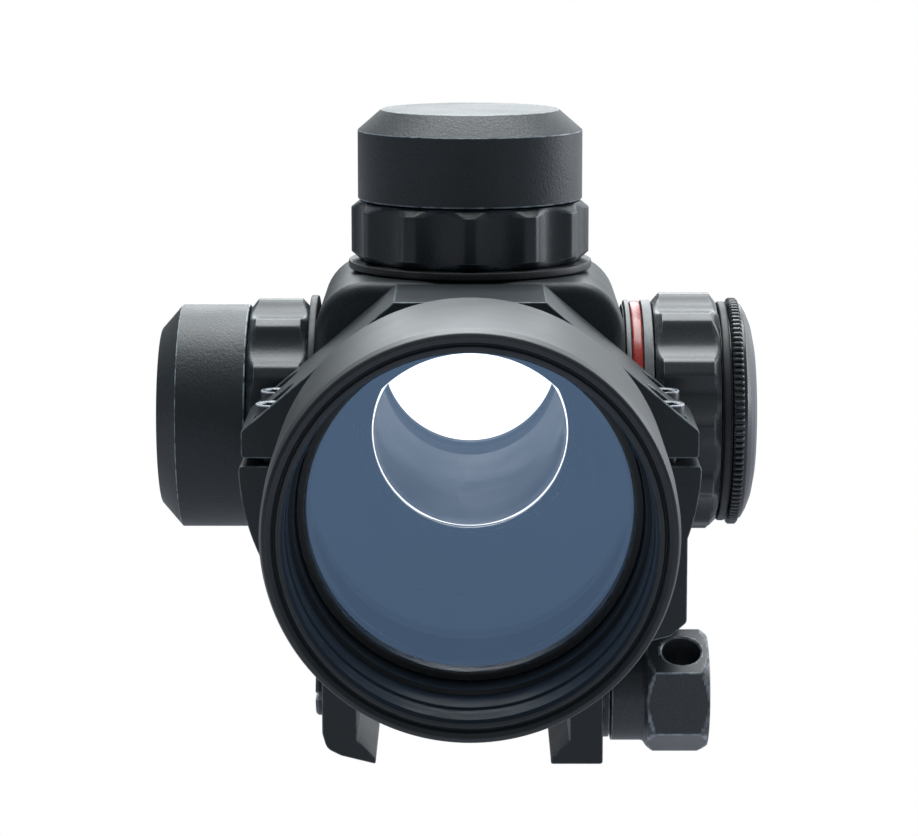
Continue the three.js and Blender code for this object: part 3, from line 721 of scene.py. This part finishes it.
def build_adjuster(prefix, matrix):
    gasket = rounded([(11.1, 20.45), (16.35, 20.45), (16.35, 21.45), (11.1, 21.45)], 0.22)
    turned(prefix + "_gasket", gasket, matrix, WASHER, "housing", "black_rubber", 192)
    build_turret_ring(prefix, matrix)
    round_steps = [TURN * k / 16 for k in range(16)]
    seal = [(12.875 + 0.425 * math.cos(step), 30.7 + 0.45 * math.sin(step)) for step in round_steps]
    turned(prefix + "_seal", seal, matrix, RUBBER, "housing", "black_rubber", 128)
    build_scale(prefix, matrix)
    build_cap(prefix, matrix)
    build_dial(prefix, matrix)
    tip = rounded([(0, 14.4), (1.6, 14.4, 0.4), (2.4, 15.2, 0.4), (2.4, 26.5, 0.15), (0, 26.5)])
    turned(prefix + "_plunger", tip, matrix, BRASS, prefix + "_plunger", "brass", 64)


def build_rheostat():
    gasket = rounded([(11.1, 20.45), (14.5, 20.45), (14.5, 20.65), (11.1, 20.65)], 0.08)
    turned("rheostat_gasket", gasket, RHEOSTAT, RUBBER, "housing", "black_rubber", 128)
    base = rounded([(5, 16.2), (10.8, 16.2), (10.8, 20.75), (15.1, 20.75, 0.12), (15.1, 21.35, 0.12),
                    (13.8, 21.35), (13.8, 23.05), (15.1, 23.05, 0.12), (15.1, 24.3, 0.2), (6, 24.3),
                    (6, 27.35), (5.3, 27.35), (5.3, 28.25), (6, 28.25), (6, 28.6), (5, 28.6)], 0.06)
    turned("rheostat_base", base, RHEOSTAT, GREY, "housing", "grey_anodised", 192)
    band = rounded([(13.95, 21.5), (14.9, 21.5), (15.0, 22.2, 0.6), (14.9, 22.9), (13.95, 22.9)], 0.3, 4)
    turned("rheostat_index_band", band, RHEOSTAT, RED, "housing", "red_rubber", 192)
    radius, low, high = 16.15, 24.55, 33.1
    section = rounded([(6.25, low), (13.55, low)], 0.1, closed=False) + drum_side(radius, low, high)
    section += rounded([(13.55, high), (13.2, high), (13.2, 27), (6.25, 27)], 0.12, closed=False)
    turned("rheostat_dial", filled(section, 0.55), RHEOSTAT, DIAL, "rheostat_dial", "black_anodised", 480,
           fluted(radius), sharp=60)
    build_battery_cap()
    seal = rounded([(13.75, 33.4), (14.9, 33.4), (14.9, 34.5), (13.75, 34.5)], 0.35, 4)
    turned("battery_cap_seal", seal, RHEOSTAT, WASHER, "battery_cap", "black_rubber", 160)
    board = rounded([(7.9, 28.75), (11.2, 28.75), (11.2, 29.35), (7.9, 29.35)], 0.05)
    turned("rheostat_board", board, RHEOSTAT, BOARD, "rheostat_dial", "board_green", 96)
    cell = rounded([(0, 29.6), (8.6, 29.6, 0.3), (8.8, 29.85, 0.1), (9.6, 29.85, 0.3), (10, 30.4, 0.3),
                    (10, 32.5, 0.35), (9.5, 32.8, 0.2), (0, 32.8)], 0.15, 4)
    turned("coin_cell", cell, RHEOSTAT, CELL, "rheostat_dial", "cell_steel", 128)
    build_contact_spring()


TEETH = 114
TOOTH_ROOT = 14.65
TOOTH_DEPTH = 0.9  # share of the height above the root that the gaps between the teeth take away
FLANK_SLOPE, GAP = 4.0, 1.3


def build_battery_cap():
    def knurled(angle, r, a):
        if r < TOOTH_ROOT:
            return r
        along = angle * TEETH / TURN % 1.0
        rib = min(1.0, max(0.0, FLANK_SLOPE * abs(2 * along - 1) - GAP))
        return r - (r - TOOTH_ROOT) * TOOTH_DEPTH * (1 - rib)

    skirt = [(11.6, 30.6), (12.9, 30.6), (12.9, 33.3), (13.6, 33.3), (13.6, 34.75)]
    teeth = [(14.6, 34.75, 0.05), (15.2, 34.8, 0.1), (15.37, 35.0, 0.1), (15.37, 35.85, 0.1),
             (15.1, 36.1, 0.1), (14.6, 36.15, 0.05)]
    dome = [(14.55, 36.55, 0.3), (13.5, 37.15, 1.5), (12, 37.75, 2), (9.8, 38.2, 3), (7, 38.4, 3), (0, 38.4)]
    section = rounded(skirt + teeth + dome, 0.1, 8) + [(0, 35.6), (11.6, 35.6)]
    cap = as_object(lathe(filled(section, 0.9), TEETH * 8, knurled), "battery_cap_fine")
    cut(cap, as_object(slot_tool(6.2, 0.8, 37.4, 39.5), "tool"))
    place(cap, RHEOSTAT, CELL_CAP, "battery_cap", "black_anodised", "battery_cap", sharp=48)


def slot_tool(half_length, half_width, low, high):
    """A coin slot's shape, standing on local Z with round ends."""
    outline = arc((half_length - half_width, 0), half_width, -90, 90, 10)
    outline += arc((half_width - half_length, 0), half_width, 90, 270, 10)
    upright = Matrix.Rotation(math.pi / 2, 4, "X") @ Matrix.Scale(-1, 4, (0, 0, 1))
    return moved(prism(outline, low, high, 0.02, 1), upright)


def build_contact_spring():
    """A conical coil of brass wire between the battery cap and the cell."""
    steps, turns, wire, sides = 220, 2.6, 0.32, 12
    mesh = bmesh.new()
    rings = []
    for k in range(steps + 1):
        t = k / steps
        angle = TURN * turns * t
        radius, rise = 4.7 + 2.0 * t, 33.55 + 1.4 * t
        centre = Vector((radius * math.cos(angle), radius * math.sin(angle), rise))
        out, up = Vector((math.cos(angle), math.sin(angle), 0)) * wire, Vector((0, 0, wire))
        rings.append([mesh.verts.new(centre + out * math.cos(b) + up * math.sin(b))
                      for b in (TURN * j / sides for j in range(sides))])
    for ring, after in zip(rings, rings[1:]):
        for j in range(sides):
            mesh.faces.new([ring[j], ring[(j + 1) % sides], after[(j + 1) % sides], after[j]])
    mesh.faces.new(rings[0])
    mesh.faces.new(rings[-1])
    made = as_object(mesh, "contact_spring_fine")
    place(made, RHEOSTAT, BRASS, "battery_cap", "brass", "contact_spring", weighted=False)

# ---- Mount ----
BORE_RADIUS = 17.15
BASE_RADIUS = 29.1
SPLIT = 0.5  # half the gap between the two halves of the ring
SCREW_X, SCREW_YS = 24.8, (46.3, 56.7)
MOUNT = (42.6, 60.4)
GUIDE_Z, GUIDE_YS = -27, (MOUNT[0] + 3.2, MOUNT[1] - 3.2)
CLAW_BOTTOM, CLAW_SLOPE = -39.1, 2.35
MOUNT_EDGE = 0.16


def at_screws(build):
    """One tool for each of the four ring screws."""
    return [as_object(moved(build(), Matrix.Translation((side * SCREW_X, y, 0))), "tool")
            for side in (-1, 1) for y in SCREW_YS]


def cross_hole(radius, low, high, y, z, sides=64):
    """A tool for a hole from side to side."""
    spot = Matrix.Translation((0, y, z)) @ ALONG_X
    return as_object(moved(rod(radius, low, high, sides), spot), "tool")


def mount_plate(outline, name):
    """An outline extruded over the mount's length."""
    return as_object(prism(anticlockwise(outline), *MOUNT, MOUNT_EDGE), name)


def claw(tip, outwards):
    """The lower corners of a jaw's claw, from its tip up the slope that grips the rail."""
    return [(tip, CLAW_BOTTOM, 0.3), (tip, CLAW_BOTTOM + 0.75, 0.3), (tip + outwards * CLAW_SLOPE, -36, 0.3)]


def build_ring_cap():
    start = math.degrees(math.asin(SPLIT / BORE_RADIUS))
    side, shoulder, flat, top = 28.7, 3.9, 9.5, 20.2
    inner = BORE_RADIUS + 2
    corners = [(inner, SPLIT), (side, SPLIT, 0.5), (side, shoulder, 0.5), (flat, top, 0.35),
               (-flat, top, 0.35), (-side, shoulder, 0.5), (-side, SPLIT, 0.5), (-inner, SPLIT)]
    outline = rounded(corners, closed=False, steps=4) + arc((0, 0), BORE_RADIUS, 180 - start, start, 72)
    cap = mount_plate(outline, "ring_cap_fine")
    pocket = [(0, -2), (1.55, -2), (1.55, 4.3), (2.65, 4.3), (2.65, 12), (0, 12)]
    cut(cap, *at_screws(lambda: lathe(pocket, 48)))
    softened(cap, 0.14)
    place(cap, PLATE, MOUNT_BLACK, "housing", "black_anodised", "ring_cap", sharp=40)


def build_ring_base():
    wall, left, side = 27.4, 14, 28.9
    wall_angle = math.degrees(math.atan2(-math.sqrt(BASE_RADIUS ** 2 - wall ** 2), wall))
    left_angle = math.degrees(math.atan2(-left, -math.sqrt(BASE_RADIUS ** 2 - left ** 2)))
    start = math.degrees(math.asin(-SPLIT / BASE_RADIUS)) - 1.2
    inner_start = math.degrees(math.asin(-SPLIT / BORE_RADIUS))
    corners = [(side, -SPLIT, 0.4)] + [(*p, 0) for p in arc((0, 0), BASE_RADIUS, start, wall_angle, 12)]
    corners += [(wall, -20.6, 0.8), (25.4, -22.4, 0.8), (16.9, -24.6, 0.6), (16.9, CLAW_BOTTOM, 0.4)]
    corners += claw(10.3, 1)
    corners += [(12.65, -33.2, 0.2), (-8.2, -33.2, 0.3), (-8.2, -22.6, 0.3), (-17, -22.6, 0.5),
                (-19.5, -20, 1.5)]
    corners += [(*p, 0) for p in arc((0, 0), BASE_RADIUS, left_angle, -180 - start, 12)]
    corners += [(-side, -SPLIT, 0.4), (-BORE_RADIUS - 2, -SPLIT, 0)]
    outline = rounded(corners, steps=4) + arc((0, 0), BORE_RADIUS, -180 - inner_start, inner_start, 72)
    base = mount_plate(outline, "ring_base_fine")
    tools = at_screws(lambda: rod(1.55, -8, 2, 32))
    tools.append(cross_hole(2.75, -30, 30, CLAMP_Y, CLAMP_Z))
    tools += [cross_hole(1.0, -12, 1.5, y, GUIDE_Z, 32) for y in GUIDE_YS]
    cut(base, *tools)
    softened(base, 0.12)
    place(base, PLATE, MOUNT_BLACK, "housing", "black_anodised", "ring_base", sharp=40)


def build_screws():
    socket, socket_floor = 1.6, 5.5

    def socketed(angle, r, a):
        if a < socket_floor or r > socket or r < 1e-3:
            return r
        return r * math.cos(math.pi / 6) / math.cos(angle % (math.pi / 3) - math.pi / 6)

    section = rounded([(0, -7), (1.1, -7, 0.1), (1.25, -6.7, 0.1), (1.25, 4.4, 0.05), (2.25, 4.4, 0.1),
                       (2.25, 6.9, 0.2), (1.7, 6.9, 0.1), (1.5, 6.75, 0.05), (1.5, 5.6, 0.02), (0, 5.6)])
    for end, y in zip(("front", "rear"), SCREW_YS):
        for hand, side in (("left", -1), ("right", 1)):
            node = f"ring_screw_{end}_{hand}"
            screw = as_object(lathe(section, 96, socketed), node + "_fine")
            spot = PLATE @ Matrix.Translation((side * SCREW_X, y, 0))
            place(screw, spot, STEEL_BLACK, "housing", "black_steel", node, sharp=40)


def build_jaw():
    outline = [(-18.8, -22.9, 0.4), (-18.8, -35.1, 1.5), (-18.2, -37.1, 1.6), (-16.4, -38.0, 1.5)]
    outline += claw(-12.0, -1) + [(-12.0 - CLAW_SLOPE, -22.9, 0.3)]
    jaw = mount_plate(rounded(outline, steps=5), "clamp_jaw_fine")
    tools = [cross_hole(2.65, -30, 0, CLAMP_Y, CLAMP_Z)]
    tools += [cross_hole(0.9, -17.7, 0, y, GUIDE_Z, 32) for y in GUIDE_YS]
    cut(jaw, *tools)
    softened(jaw, 0.12)
    place(jaw, PLATE, MOUNT_BLACK, "clamp_jaw", "black_anodised", "clamp_jaw", sharp=40)
    pin = rounded([(0, -17.5), (0.75, -17.5, 0.1), (0.75, -5, 0.2), (0, -5)])
    for end, y in zip(("front", "rear"), GUIDE_YS):
        node = "jaw_guide_pin_" + end
        made = as_object(lathe(pin, 48), node + "_fine")
        spot = PLATE @ Matrix.Translation((0, y, GUIDE_Z)) @ ALONG_X
        place(made, spot, STEEL, "clamp_jaw", "spring_steel", node)


def build_clamp_bolt():
    head = [(0, -19.9), (2.9, -19.9, 0.3), (3.2, -19.6, 0.3), (3.2, -18.95, 0.1), (2.5, -18.95, 0.05)]
    tip = [(2.5, 22.0), (2.2, 22.6, 0.1), (0, 22.6)]
    shank = rounded(head, closed=False) + threads(2.5, 6.0, 21.5, 0.8, -0.28) + rounded(tip, closed=False)
    bolt = as_object(lathe(shank, 64), "clamp_bolt_fine")
    cut(bolt, as_object(block(-0.45, 0.45, -4, 4, -20.2, -19.45), "tool"))
    place(bolt, CLAMP, STEEL_BLACK, "clamp_jaw", "black_steel", "clamp_bolt")
    washer = rounded([(2.75, 17.05), (6, 17.05), (6, 17.9), (2.75, 17.9)], 0.15)
    turned("clamp_washer", washer, CLAMP, STEEL_BLACK, "housing", "black_steel", 96)


def build_clamp_nut():
    """A hexagon nut with a coin slot that is flared at both ends."""
    flats, neck, neck_top, softness = 7.05, 6, 22, 0.18
    corner = 2 * flats / math.sqrt(3) + 0.05

    def hexagonal(angle, r, a):
        if a < neck_top or r < neck:
            return r
        return soft_min(r, flats / math.cos(angle % (math.pi / 3) - math.pi / 6), softness)

    section = rounded([(2.75, 18.1), (6.4, 18.1), (6.4, 22.0, 0.3), (6.5, 22.3, 0.1), (7.15, 22.75),
                       (corner, 23.7, 0.3), (corner, 29.5, 0.3), (7.1, 30.62, 0.3), (6.5, 30.7, 0.3),
                       (0, 30.7)], steps=4)
    section += [(0, 29.2), (2.75, 29.2)]
    nut = as_object(lathe(filled(section, 0.35), 360, hexagonal), "clamp_nut_fine")
    flared = [(0, -12), (3.5, -12), (3.5, -7.9), (2.5, -6.85), (2.5, 6.85), (3.5, 7.9), (3.5, 12), (0, 12)]
    tilt = Matrix.Translation((0, 0, 27.1)) @ Matrix.Rotation(math.radians(30), 4, "Z") @ ALONG_X
    cut(nut, as_object(moved(lathe(flared, 64), tilt), "tool"))
    place(nut, CLAMP, STEEL_BLACK, "clamp_nut", "black_steel", "clamp_nut", sharp=40)


# ---- CAD nodes that stay as they are ----
KEPT = {
    "gimbal_ring": (BRASS, "brass"),
    "gimbal_pin_top": (STEEL, "spring_steel"),
    "gimbal_pin_bottom": (STEEL, "spring_steel"),
    "gimbal_pin_left": (STEEL, "spring_steel"),
    "gimbal_pin_right": (STEEL, "spring_steel"),
    "bias_spring": (STEEL, "spring_steel"),
    "led_bracket": (SATIN, "black_anodised"),
    "led_emitter": (LED, "led_red"),
    "detent_ball": (STEEL, "spring_steel"),
    "rheostat_clip": (STEEL, "spring_steel"),
}


def finish_kept():
    for name, (material, slot) in KEPT.items():
        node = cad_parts[name]
        node.data.materials.clear()
        node.data.materials.append(material)
        for face in node.data.polygons:
            face.use_smooth = True
        node.data.set_sharp_from_angle(angle=math.radians(35))


# ---- Stage, light and camera ----
FLOOR = (AXIS - 39.9) * MM
FLOOR_REACH = 14.0
DIM_FLOOR, FRONT_FLOOR = 0.50, 0.62
FLOOR_TINT = (0.84, 0.90, 1.0)
WORLD_TINT = (0.93, 0.98, 1.0)
THROUGH_GLASS = 1.8  # the backdrop's level through the optics, where straight on it is 1


def tinted(n, tint):
    """White where the camera sees it, directly or through glass, and a faint tint in every reflection."""
    path = n.new("ShaderNodeLightPath").outputs
    return n.mix(n.compute("MAXIMUM", path["Is Camera Ray"], path["Is Transmission Ray"]), tint, (1, 1, 1))


def seen_level(n, depth):
    """White seen straight on, and brighter still behind the sight when seen through the optics."""
    path = n.new("ShaderNodeLightPath").outputs
    through = n.product(path["Is Transmission Ray"], n.ramp(depth, 0.04, 0.06, 0.0, THROUGH_GLASS))
    return n.compute("MAXIMUM", path["Is Camera Ray"], through)


def floor_levels(n):
    """Dim under the sight, a little lighter some way in front of it, and lightest to the rear right."""
    x, y, _ = n.position("Object")
    front = n.ramp(y, -0.16, -0.22, DIM_FLOOR, FRONT_FLOOR)
    towards_right = n.ramp(x, 0.04, 0.3, 0.0, 0.5)
    towards_rear = n.ramp(y, 0.0, 0.2, 0.0, 1.0)
    level = n.compute("ADD", front, n.product(towards_right, towards_rear))
    return n.compute("MAXIMUM", level, seen_level(n, y))


def world_levels(n):
    """Bright high up and behind, dark in front, with a glow low on the rear right."""
    x, y, z = n.position("Generated")
    behind = n.ramp(y, -0.1, 0.8, 0.08, 1.0)
    above = n.ramp(z, 0.07, 0.26, 0.12, 4.2)
    left_edge = n.ramp(x, -0.38, -0.10, 0.10, 1.0)
    right_edge = n.ramp(x, 0.04, 0.28, 1.0, 0.30)
    low = n.ramp(z, 0.15, 0.5, 1.0, 0.0)
    rear = n.ramp(y, 0.2, 0.7, 0.0, 1.0)
    right = n.ramp(x, 0.12, 0.5, 0.0, 1.2)
    level = n.compute("ADD", n.product(behind, above, left_edge, right_edge), n.product(low, rear, right))
    return n.compute("MAXIMUM", level, seen_level(n, y))


def floor_material():
    """Plain surface that glows at a level per ray, and lets a view from behind it through."""
    material = bpy.data.materials.new("floor_white")
    n = Nodes(material)
    n.tree.nodes.clear()
    glow, clear = n.new("ShaderNodeEmission"), n.new("ShaderNodeBsdfTransparent")
    mix, out = n.new("ShaderNodeMixShader"), n.new("ShaderNodeOutputMaterial")
    n.link(tinted(n, FLOOR_TINT), glow.inputs["Color"])
    n.link(floor_levels(n), glow.inputs["Strength"])
    n.link(n.new("ShaderNodeNewGeometry").outputs["Backfacing"], mix.inputs[0])
    n.link(glow.outputs[0], mix.inputs[1])
    n.link(clear.outputs[0], mix.inputs[2])
    n.link(mix.outputs[0], out.inputs["Surface"])
    return material


def build_stage():
    mesh = bmesh.new()
    sides = ((-1, -1), (1, -1), (1, 1), (-1, 1))
    mesh.faces.new([mesh.verts.new((x * FLOOR_REACH, y * FLOOR_REACH, FLOOR)) for x, y in sides])
    data = bpy.data.meshes.new("floor")
    mesh.to_mesh(data)
    mesh.free()
    floor = bpy.data.objects.new("floor", data)
    bpy.context.scene.collection.objects.link(floor)
    data.materials.append(floor_material())


def area_light(name, spot, aim, size, radiance, colour):
    light = bpy.data.lights.new(name, "AREA")
    light.shape = "RECTANGLE"
    light.size, light.size_y = size
    light.energy = radiance * math.pi * size[0] * size[1]
    light.color = colour
    made = bpy.data.objects.new(name, light)
    made.location = spot
    made.rotation_euler = (Vector(aim) - Vector(spot)).to_track_quat("-Z", "Y").to_euler()
    bpy.context.scene.collection.objects.link(made)


def build_light():
    world = bpy.data.worlds.new("studio")
    bpy.context.scene.world = world
    n = Nodes(world)
    background = n.tree.nodes["Background"]
    n.link(tinted(n, WORLD_TINT), background.inputs["Color"])
    n.link(world_levels(n), background.inputs["Strength"])
    area_light("top_softbox", spot=(0, 0.16, 0.62), aim=(0, 0.02, 0.03), size=(0.6, 0.4), radiance=5.4,
               colour=(0.95, 0.985, 1.0))
    area_light("right_strip", spot=(0.70, 0.30, 0.20), aim=(0, 0, 0.03), size=(0.25, 0.5), radiance=5.2,
               colour=(0.94, 0.95, 1.0))


def build_camera():
    """A long lens in front of the sight and above it, dipped below level by an angle in radians."""
    dip = 0.1697
    data = bpy.data.cameras.new("camera")
    data.sensor_width = 36.0
    data.lens = 125.9
    data.shift_x = -0.012
    data.clip_start = 0.01
    camera = bpy.data.objects.new("camera", data)
    camera.location = (0, -0.4102, 0.1066)
    camera.rotation_euler = (math.pi / 2 - dip, 0, 0)
    bpy.context.scene.collection.objects.link(camera)
    bpy.context.scene.camera = camera


build_camera()
build_optics()
build_adjuster("elevation", ELEVATION)
build_adjuster("windage", WINDAGE)
build_rheostat()
build_ring_cap()
build_ring_base()
build_screws()
build_jaw()
build_clamp_bolt()
build_clamp_nut()
finish_kept()
build_stage()
build_light()
bpy.context.scene.view_settings.view_transform = "Standard"
